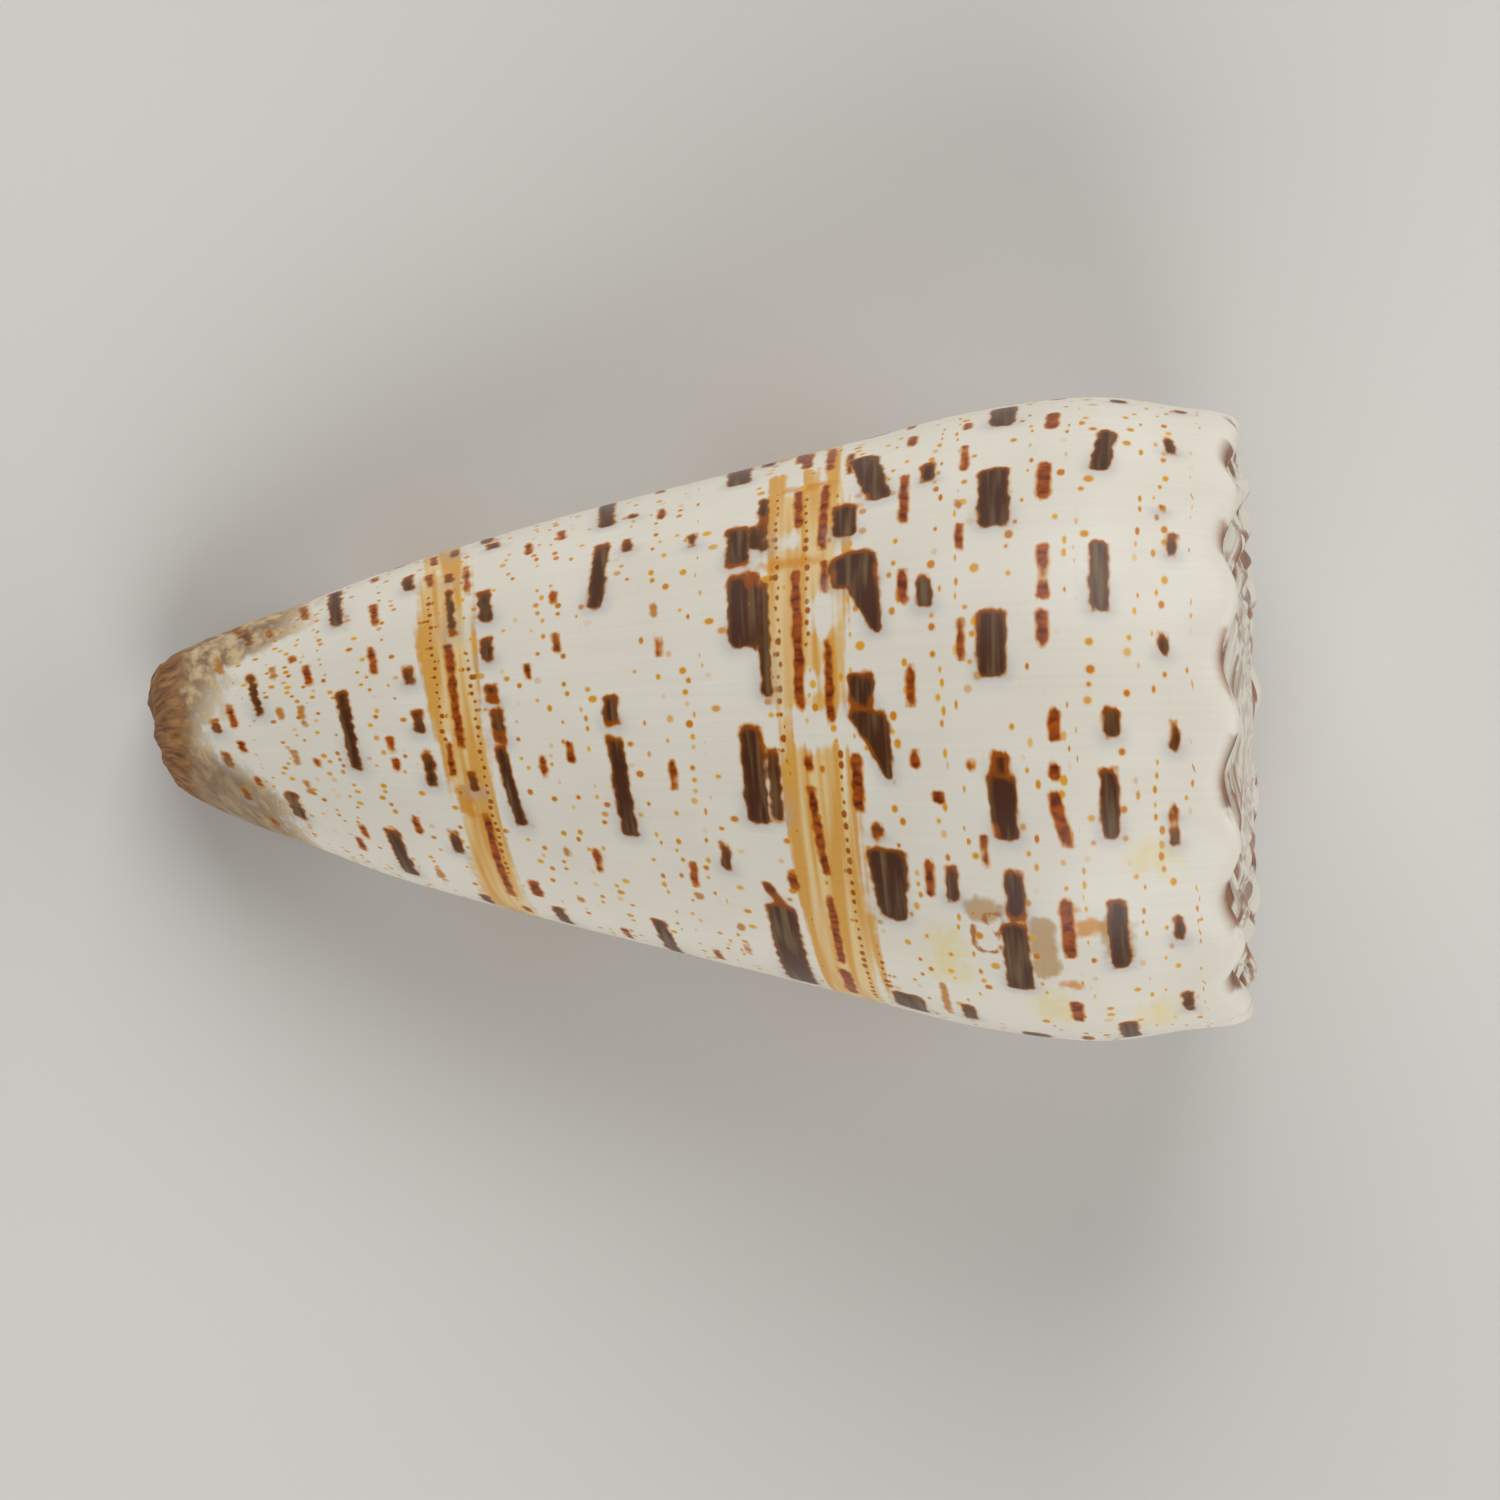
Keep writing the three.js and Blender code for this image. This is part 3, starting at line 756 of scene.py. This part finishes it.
# %% Store the fields on the mesh
layers = {"pattern": np.c_[angle_at * math.pi / 180 * PATTERN_RADIUS, row_at, np.zeros(len(row_at))]}
layers.update(field, newer=newer, older=older_blur, rung=rung, rung_gap=rung_gap, dotted=dotted,
              stain=stain, grime=grime, tip=tip, ramp=on_ramp, wave=wave, inside=deep_in)
for name in ("turn", "reach", "across", "inset", "angle", "radius", "along"):
    grown.attributes.remove(grown.attributes[name])
for name, values in layers.items():
    kind, item = ("FLOAT_VECTOR", "vector") if values.ndim == 2 else ("FLOAT", "value")
    layer = grown.attributes.new(name, kind, "POINT")
    layer.data.foreach_set(item, values.astype(np.float32).ravel())
print("fields on the mesh", len(layers))

# %% [markdown]
# ## The material
#
# Shell is aragonite, a hard mineral laid down in fine sheets. Under its glaze it looks like
# porcelain: ivory, bright, with broad soft reflections and fine growth lines that run with the
# lip. Pigment lies inside the wall, so a mark has no edge that can be felt, and its rim is a thin
# wash of the same dye. The pattern's noise is stretched in millimetres: fibres along the rows,
# growth lines across them.

# %% Noise in the pattern's own directions
porcelain.use_nodes = True
paint = porcelain.node_tree
paint.nodes.clear()
pattern = add(paint, "ShaderNodeAttribute", attribute_name="pattern").outputs["Vector"]
attribute = {name: add(paint, "ShaderNodeAttribute", attribute_name=name).outputs["Fac"]
             for name in layers if name != "pattern"}
GRAIN = {  # millimetres along the growth, millimetres along the lip, detail
    "frayed": (0.9, 0.8, 0.8), "fibre": (6.0, 0.6, 1.0), "bead": (0.5, 1.1, 1.0),
    "band": (16.0, 0.75, 1.0), "growth": (0.28, 16.0, 2.0), "cloud": (8.0, 6.0, 2.0),
    "streak": (4.0, 0.9, 3.0), "mottle": (1.6, 1.3, 3.0)}
grain = {}
for name, (lengthways, sideways, detail) in GRAIN.items():
    scaled = add(paint, VECTOR_MATH, {0: pattern, 1: (1 / lengthways, 1 / sideways, 0.0)},
                 operation="MULTIPLY")
    grain[name] = add(paint, "ShaderNodeTexNoise",
                      {"Vector": scaled, "Scale": 1.0, "Detail": detail, "Roughness": 0.55},
                      noise_dimensions="2D").outputs[0]
print("grains", sorted(grain))

# %% [markdown]
# A mark's edge is where its distance crosses zero. The distance is shifted a little by the frayed
# grain, so the edges wander by a tenth of a millimetre or so as pigment does. A dark mark is drawn
# three times, as a gold wash, a red-brown rim and a core, and the wash is strongest where the gland
# began. The belts' ends are staggered by the band grain, because no two glands start together.

# %% Masks from the distance fields
RANGE = "ShaderNodeMapRange"
HELD_BACK = 0.22  # millimetres that a core stays behind its rim at the newer end
STAGGER = 2.5
WASH = (0.65, 1.0)  # strength at the older and at the newer end
EDGES = [  # mask, field, how frayed, and where the edge begins and is full, in millimetres
    ("dark wash", "dark", 0.4, 0.2, -0.08), ("dark rim", "dark", 0.4, 0.08, -0.14),
    ("dark", "dark", 0.4, 0.01, -0.36), ("chestnut wash", "chestnut", 0.3, 0.19, -0.08),
    ("chestnut", "chestnut", 0.3, 0.06, -0.16), ("amber", "amber", 0.4, 0.14, -0.14),
    ("belt", "belt", 0.45, 0.3, -0.35), ("cap", "cap", 0.9, 0.3, -0.4),
    ("scar", "scar", 0.8, 0.25, -0.3), ("seam", "seam", 0.4, 0.16, -0.05),
    ("cream", "cream", 2.5, 1.2, -1.2)]


def threshold(value, low, high):
    return add(paint, RANGE, {0: value, 1: low, 2: high}, interpolation_type="SMOOTHSTEP").outputs[0]


def from_to(value, first, last):
    return add(paint, RANGE, {0: value, 3: first, 4: last}).outputs[0]


fray = maths(paint, "SUBTRACT", grain["frayed"], 0.5)
staggered = maths(paint, "SUBTRACT", grain["band"], 0.5)
held_back = maths(paint, "MULTIPLY", attribute["newer"], HELD_BACK)
mask = {}
for name, source, fray_by, outer, inner in EDGES:
    shifted = maths(paint, "MULTIPLY_ADD", fray, fray_by, attribute[source])
    if name == "dark":
        shifted = maths(paint, "ADD", shifted, held_back)
    if name == "belt":
        shifted = maths(paint, "MULTIPLY_ADD", staggered, STAGGER, shifted)
    mask[name] = threshold(shifted, outer, inner)
mask["dark wash"] = maths(paint, "MULTIPLY", mask["dark wash"], from_to(attribute["newer"], *WASH))
print("masks", len(mask))

# %% [markdown]
# Dots: each rung is cut into cells 0.8 mm long, and each rung's cells are shifted against the
# last. A cell throws three dice of its own, which settle all about its dot.

# %% Cells on the rungs
CELL = 0.8
CELL_SHIFT = 0.37

nearest = maths(paint, "ROUND", attribute["rung"])
off_row = maths(paint, "SUBTRACT", attribute["rung"], nearest)
off_row = maths(paint, "MULTIPLY", off_row, attribute["rung_gap"])
along_row = add(paint, "ShaderNodeSeparateXYZ", {0: pattern}).outputs[0]
cells = maths(paint, "MULTIPLY", along_row, 1 / CELL)
cells = maths(paint, "MULTIPLY_ADD", nearest, CELL_SHIFT, cells)
cell = maths(paint, "FLOOR", cells)
in_cell = maths(paint, "SUBTRACT", cells, cell)
dice = add(paint, "ShaderNodeTexWhiteNoise",
           {"Vector": add(paint, "ShaderNodeCombineXYZ", {0: cell, 1: nearest})},
           noise_dimensions="2D").outputs["Color"]
dice = add(paint, "ShaderNodeSeparateColor", {0: dice}).outputs
print("dice per cell", len(dice))

# %% [markdown]
# The dice say if there is a dot, how big it is and how far it has slipped from the middle of its
# cell and from its row. Some dots are faint, and every dot has a paler halo round it. There are
# none on the ramp.

# %% The dot in each cell
ROW_SLIP = (0.55, 0.08)  # share of the rows' distance, on the ground and on the belts
CELL_SLIP = (0.38, 0.62)
SQUEEZE = 0.75
DOT_RADIUS = (0.09, 0.21)
DOTS_WANTED = (0.6, 1.15)  # share of the cells, on the ground and on the belts
FAINTNESS = 0.25
DICE_MIX = 7.3  # makes a fourth die of two

astray = maths(paint, "FRACT", maths(paint, "MULTIPLY_ADD", dice[0], DICE_MIX, dice[1]))
astray = maths(paint, "SUBTRACT", astray, 0.5)
loose = maths(paint, "MULTIPLY", from_to(attribute["dotted"], *ROW_SLIP), attribute["rung_gap"])
off_row = maths(paint, "MULTIPLY_ADD", astray, loose, off_row)
off_cell = maths(paint, "SUBTRACT", in_cell, from_to(dice[0], *CELL_SLIP))
off_cell = maths(paint, "MULTIPLY", off_cell, CELL * SQUEEZE)
off = add(paint, "ShaderNodeCombineXYZ", {0: off_cell, 1: off_row})
away = add(paint, VECTOR_MATH, {0: off}, operation="LENGTH").outputs["Value"]
dot = maths(paint, "SUBTRACT", from_to(dice[1], *DOT_RADIUS), away)
wanted = maths(paint, "SUBTRACT", from_to(attribute["dotted"], *DOTS_WANTED), dice[2])
wanted = add(paint, RANGE, {0: wanted, 1: 0.0, 2: FAINTNESS})
wanted = maths(paint, "MULTIPLY", wanted, from_to(attribute["ramp"], 1.0, 0.0))
for name, outer, inner in (("dot halo", -0.13, 0.03), ("dot", -0.05, 0.06)):
    mask[name] = maths(paint, "MULTIPLY", threshold(dot, outer, inner), wanted)
print("masks", len(mask))

# %% [markdown]
# No pigment is one flat colour. Each body has two tones and turns from one to the other with a
# grain: the darkest dashes vary from grey-brown to nearly black along their fibres, and the dots
# from yellow to orange, darker on the belts.

# %% Two-tone bodies
DARKENING_FROM, DARKENING_MOST = 0.4, 0.6
TWO_TONES = {  # grain, where it turns from the first colour to the second, and both colours
    "dark": ("fibre", 0.47, 0.76, "#4a2712", "#705638"),
    "belt": ("band", 0.38, 0.62, "#d49a38", "#e2c48a"),
    "chestnut": ("bead", 0.3, 0.7, "#6a2404", "#a8500c"),
    "stain": ("streak", 0.35, 0.65, "#7a5226", "#cbb080"),
    "tip": ("mottle", 0.3, 0.7, "#5c3519", "#ac7846"),
    "flame": ("mottle", 0.3, 0.7, "#4a1e04", "#a05a16"),
}


def blend(amount, first, second):
    return add(paint, "ShaderNodeMix", {0: amount, 6: first, 7: second}, data_type="RGBA").outputs[2]


ivory = blend(grain["cloud"], linear("#dcd6c6"), linear("#e6e1d4"))
body_of = {}
for name, (source, low, high, first, second) in TWO_TONES.items():
    tone = add(paint, RANGE, {0: grain[source], 1: low, 2: high})
    body_of[name] = blend(tone, linear(first), linear(second))
# the stain turns a darker brown towards the lower flank
flank_darkened_by = add(paint, RANGE, {0: attribute["grime"], 1: DARKENING_FROM, 2: 1.0, 3: 0.0, 4: DARKENING_MOST})
body_of["stain"] = blend(flank_darkened_by, body_of["stain"], linear("#735530"))
body_of["rim"] = blend(attribute["newer"], linear("#70400f"), linear("#964a06"))
body_of["dot"] = blend(dice[0], linear("#e2a80c"), linear("#c06604"))
body_of["dot"] = blend(attribute["dotted"], body_of["dot"], linear("#9c4a0a"))

# %% [markdown]
# Flames, the stain of the front and the brown of the tip have no drawn edge. Each grows out of the
# sum of its field and a grain: clouds leave some hollows of the spire without a flame, and streaks
# carry the stain along the rows.

# %% Flames, stain and browned tip
KNOBS_BARE = -0.3  # keeps the flames off the tops of the knobs
FLAME_MOTTLE, STAIN_STREAK, TIP_MOTTLE = 0.4, 1.1, 0.9
FLAME_EDGE, STAIN_FADE, TIP_FADE = (0.5, 0.64), (0.2, 0.8), (0.7, 1.2)

flame = maths(paint, "MULTIPLY_ADD", attribute["wave"], KNOBS_BARE, grain["cloud"])
flame = maths(paint, "MULTIPLY_ADD", grain["mottle"], FLAME_MOTTLE, flame)
mask["flame"] = maths(paint, "MULTIPLY", threshold(flame, *FLAME_EDGE), attribute["ramp"])
stained = maths(paint, "SUBTRACT", grain["streak"], 0.5)
stained = maths(paint, "MULTIPLY_ADD", stained, STAIN_STREAK, attribute["stain"])
mask["stain"] = threshold(stained, *STAIN_FADE)
browned = maths(paint, "MULTIPLY_ADD", grain["mottle"], TIP_MOTTLE, attribute["tip"])
mask["tip"] = threshold(browned, *TIP_FADE)
mask.update(older=attribute["older"], inside=attribute["inside"])
print("masks", len(mask))

# %% [markdown]
# The colours go on from the deepest to the uppermost, each by its mask. The stain goes on twice,
# most of it under the marks and a thin film over them, so that they show through it.

# %% Coats, from the ground up
GROWTH_SHADE = (0.975, 1.01)
COATS = [  # mask, its colour or the name of its body, and how much of it
    ("cream", "#e2d296", 0.75), ("belt", "belt", 0.95), ("cap", "#d28a14", 0.85),
    ("scar", "#b48c52", 0.8), ("seam", "#b0660e", 0.95), ("stain", "stain", 0.85),
    ("dot halo", "#e8b84a", 0.55), ("dot", "dot", 0.95), ("amber", "#c07a1c", 0.95),
    ("chestnut wash", "#d2861a", 0.95), ("chestnut", "chestnut", 1.0), ("older", "#a2a4ae", 0.42),
    ("dark wash", "#d68c1c", 0.95), ("dark rim", "rim", 1.0), ("dark", "dark", 1.0),
    ("stain", "stain", 0.3), ("tip", "tip", 0.9), ("flame", "flame", 0.9), ("inside", "#e4dfd6", 1.0)]
colour = ivory
for name, body_name, strength in COATS:
    coat = body_of[body_name] if body_name in body_of else linear(body_name)
    colour = blend(maths(paint, "MULTIPLY", mask[name], strength), colour, coat)
growth_shade = add(paint, RANGE, {0: grain["growth"], 1: 0.3, 2: 0.7,
                                  3: GROWTH_SHADE[0], 4: GROWTH_SHADE[1]})
colour = add(paint, VECTOR_MATH, {0: colour, "Scale": growth_shade}, operation="SCALE")
print("coats", len(COATS))

# %% [markdown]
# Under the glaze the growth lines can just be felt, and on the worn front there are ridges and
# cords. A growth line is less than a hundredth of a millimetre high, a cord about a tenth. The
# glaze has an index of 1.53, the low end of aragonite's range, and less shine than a perfect face
# has, because growth lines and wear break it up. It dulls where the front is stained and on the
# ramp, the oldest and most worn part.

# %% Relief and glaze
GROWTH_HEIGHT = 0.006
CORD_HEIGHT = 0.1
SMOOTHEST, DULLEST = 0.34, 0.65  # roughness
MOST_WORN = 2.0  # stain and tip together

growth_height = maths(paint, "MULTIPLY", grain["growth"], GROWTH_HEIGHT)
cords = maths(paint, "MULTIPLY", grain["streak"], attribute["stain"])
height = maths(paint, "MULTIPLY_ADD", cords, CORD_HEIGHT, growth_height)
relief = add(paint, "ShaderNodeBump", {"Strength": 1.0, "Distance": MM, "Height": height})
dull = maths(paint, "ADD", attribute["stain"], attribute["tip"])
dull = maths(paint, "MULTIPLY_ADD", attribute["ramp"], MOST_WORN, dull)
roughness = add(paint, RANGE, {0: dull, 1: 0.0, 2: MOST_WORN, 3: SMOOTHEST, 4: DULLEST})
glaze = add(paint, "ShaderNodeBsdfPrincipled",
            {"Base Color": colour, "Roughness": roughness, "IOR": 1.53,
             "Specular IOR Level": 0.3, "Normal": relief})
add(paint, "ShaderNodeOutputMaterial", {"Surface": glaze})
print("material", len(paint.nodes), "nodes")

# %% [markdown]
# ## The floor
#
# A loose shell lies where it is put, so all it needs is something plain to lie on: a sheet of pale,
# matt paper, wide enough that its edges are never seen.

# %% A sheet of paper
PAPER_HALF = 2.0
floor_mesh = bpy.data.meshes.new("floor")
floor_mesh.from_pydata([(-PAPER_HALF, -PAPER_HALF, 0), (PAPER_HALF, -PAPER_HALF, 0),
                        (PAPER_HALF, PAPER_HALF, 0), (-PAPER_HALF, PAPER_HALF, 0)],
                       [], [(0, 1, 2, 3)])
floor = bpy.data.objects.new("floor", floor_mesh)
bpy.context.collection.objects.link(floor)
paper = bpy.data.materials.new("matt paper")  # pale and without shine, so the shell stands out
paper.use_nodes = True
paper_shader = paper.node_tree.nodes["Principled BSDF"]
paper_shader.inputs["Base Color"].default_value = linear("#d2cfca")
paper_shader.inputs["Roughness"].default_value = 0.9
floor_mesh.materials.append(paper)
print("floor", 2 * PAPER_HALF, "m wide")

# %% [markdown]
# ## The camera
#
# The camera looks down on the back from 0.6 m through a long lens, so near and far parts keep
# nearly the same scale. It leans a little to the front, which shows the knobs from the side as a
# wavy edge, and is rolled by half a degree, as the axis is in the photo. The aim is given in
# millimetres to the right and up in the picture.

# %% Camera
VIEW_TILT = 9.16
VIEW_ROLL = 0.55
VIEW_DISTANCE = 600.0
FOCAL = 213.7
AIM = (3.447, -1.855)

tilt, roll = math.radians(VIEW_TILT), math.radians(VIEW_ROLL)
right = Vector((math.cos(tilt) * math.cos(roll), -math.sin(roll), math.sin(tilt) * math.cos(roll)))
upward = Vector((math.cos(tilt) * math.sin(roll), math.cos(roll), math.sin(tilt) * math.sin(roll)))
towards = Vector((-math.sin(tilt), 0, math.cos(tilt)))
depth_of = place @ np.array(towards)
middle = (depth_of.min() + depth_of.max()) / 2
camera_data = bpy.data.cameras.new("camera")
camera_data.lens = FOCAL
camera_data.clip_start = 0.01
camera = bpy.data.objects.new("camera", camera_data)
camera.matrix_world = Matrix((right, upward, towards)).transposed().to_4x4()
camera.location = (right * AIM[0] + upward * AIM[1] + towards * VIEW_DISTANCE) * MM + towards * middle
bpy.context.collection.objects.link(camera)
bpy.context.scene.camera = camera
print("camera at", [round(v, 3) for v in camera.location])

# %% [markdown]
# ## The light
#
# Two wide windows stand on either side of the axis, low enough that their reflections lie on the
# flanks and leave the marks on the back clear. A smaller one lights the spire, and a dim white
# surround fills the shadows. Colours are shown plainly, without a film's curve.

# %% Windows and surround
WINDOWS = [  # place and size in metres, power in watts
    ("upper window", (-0.1, 0.85, 0.62), 0.9, 8.6), ("lower window", (0.0, -0.95, 0.62), 0.9, 8.2),
    ("spire window", (0.95, 0.0, 0.45), 0.6, 3.2)]
SURROUND = 0.16
for name, where, size, power in WINDOWS:
    lamp = bpy.data.lights.new(name, "AREA")
    lamp.size = size
    lamp.energy = power
    lamp_object = bpy.data.objects.new(name, lamp)
    lamp_object.location = where
    lamp_object.rotation_euler = (-Vector(where)).to_track_quat("-Z", "Y").to_euler()
    bpy.context.collection.objects.link(lamp_object)
world = bpy.data.worlds.new("studio")
world.use_nodes = True
surround = world.node_tree.nodes["Background"]
surround.inputs["Color"].default_value = (1, 1, 1, 1)
surround.inputs["Strength"].default_value = SURROUND
bpy.context.scene.world = world
bpy.context.scene.view_settings.view_transform = "Standard"
print("windows", len(WINDOWS))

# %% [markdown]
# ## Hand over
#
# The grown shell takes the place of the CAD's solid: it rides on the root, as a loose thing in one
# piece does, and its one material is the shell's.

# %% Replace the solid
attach(shell, "root")
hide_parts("shell")
